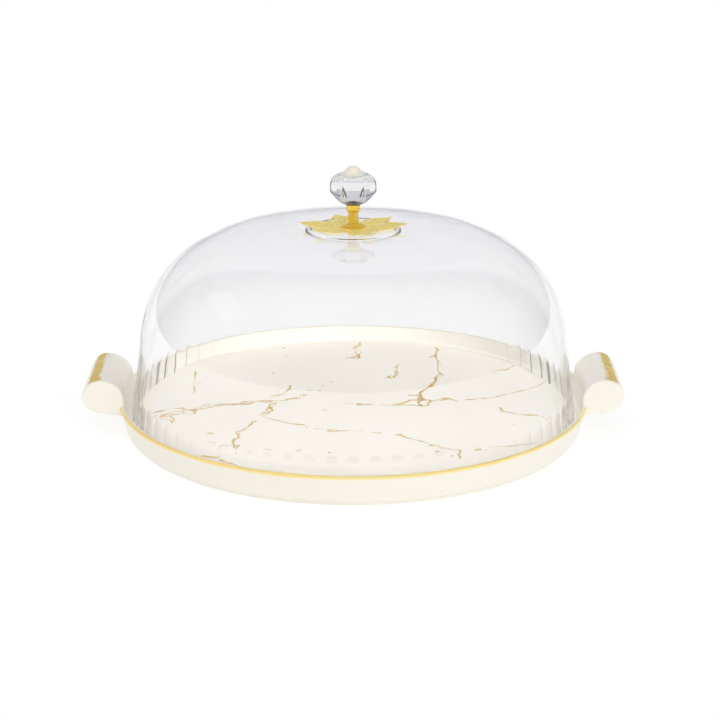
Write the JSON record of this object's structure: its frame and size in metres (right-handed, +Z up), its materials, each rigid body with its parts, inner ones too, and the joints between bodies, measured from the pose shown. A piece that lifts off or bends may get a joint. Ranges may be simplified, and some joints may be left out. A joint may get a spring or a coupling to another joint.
{
  "type": "cake stand with dome lid",
  "caption": "Round cream tray with scroll grips and a clear fluted dome that lifts off by a crystal knob on a gold rosette.",
  "frame": {"origin": "centre of the tray's foot, on the table", "axes": "+Z up, the two grips lie along X, the front is towards -Y"},
  "size_m": [0.376, 0.33, 0.186],
  "materials": {
    "cream": "glossy",
    "clear_dome": "glossy clear",
    "crystal": "glossy clear",
    "bud": "glossy",
    "gold": "polished",
    "filigree": "polished",
    "steel": "satin",
    "soft": "matte"
  },
  "bodies": {
    "tray": {"tray": "cream", "handle_left": "cream", "handle_right": "cream"},
    "dome": {"dome_shell": "clear_dome", "rosette": "filigree", "knob_stem": "gold", "knob_ferrule": "gold", "knob_crystal": "crystal", "knob_bud": "bud", "knob_insert": "steel", "knob_screw": "steel", "screw_washer": "gold", "soft_washer": "soft"}
  },
  "joints": [
    {"name": "dome_lift", "type": "slide", "parent": "tray", "child": "dome", "axis": [0, 0, 1], "range_m": [0, 0.2]}
  ]
}
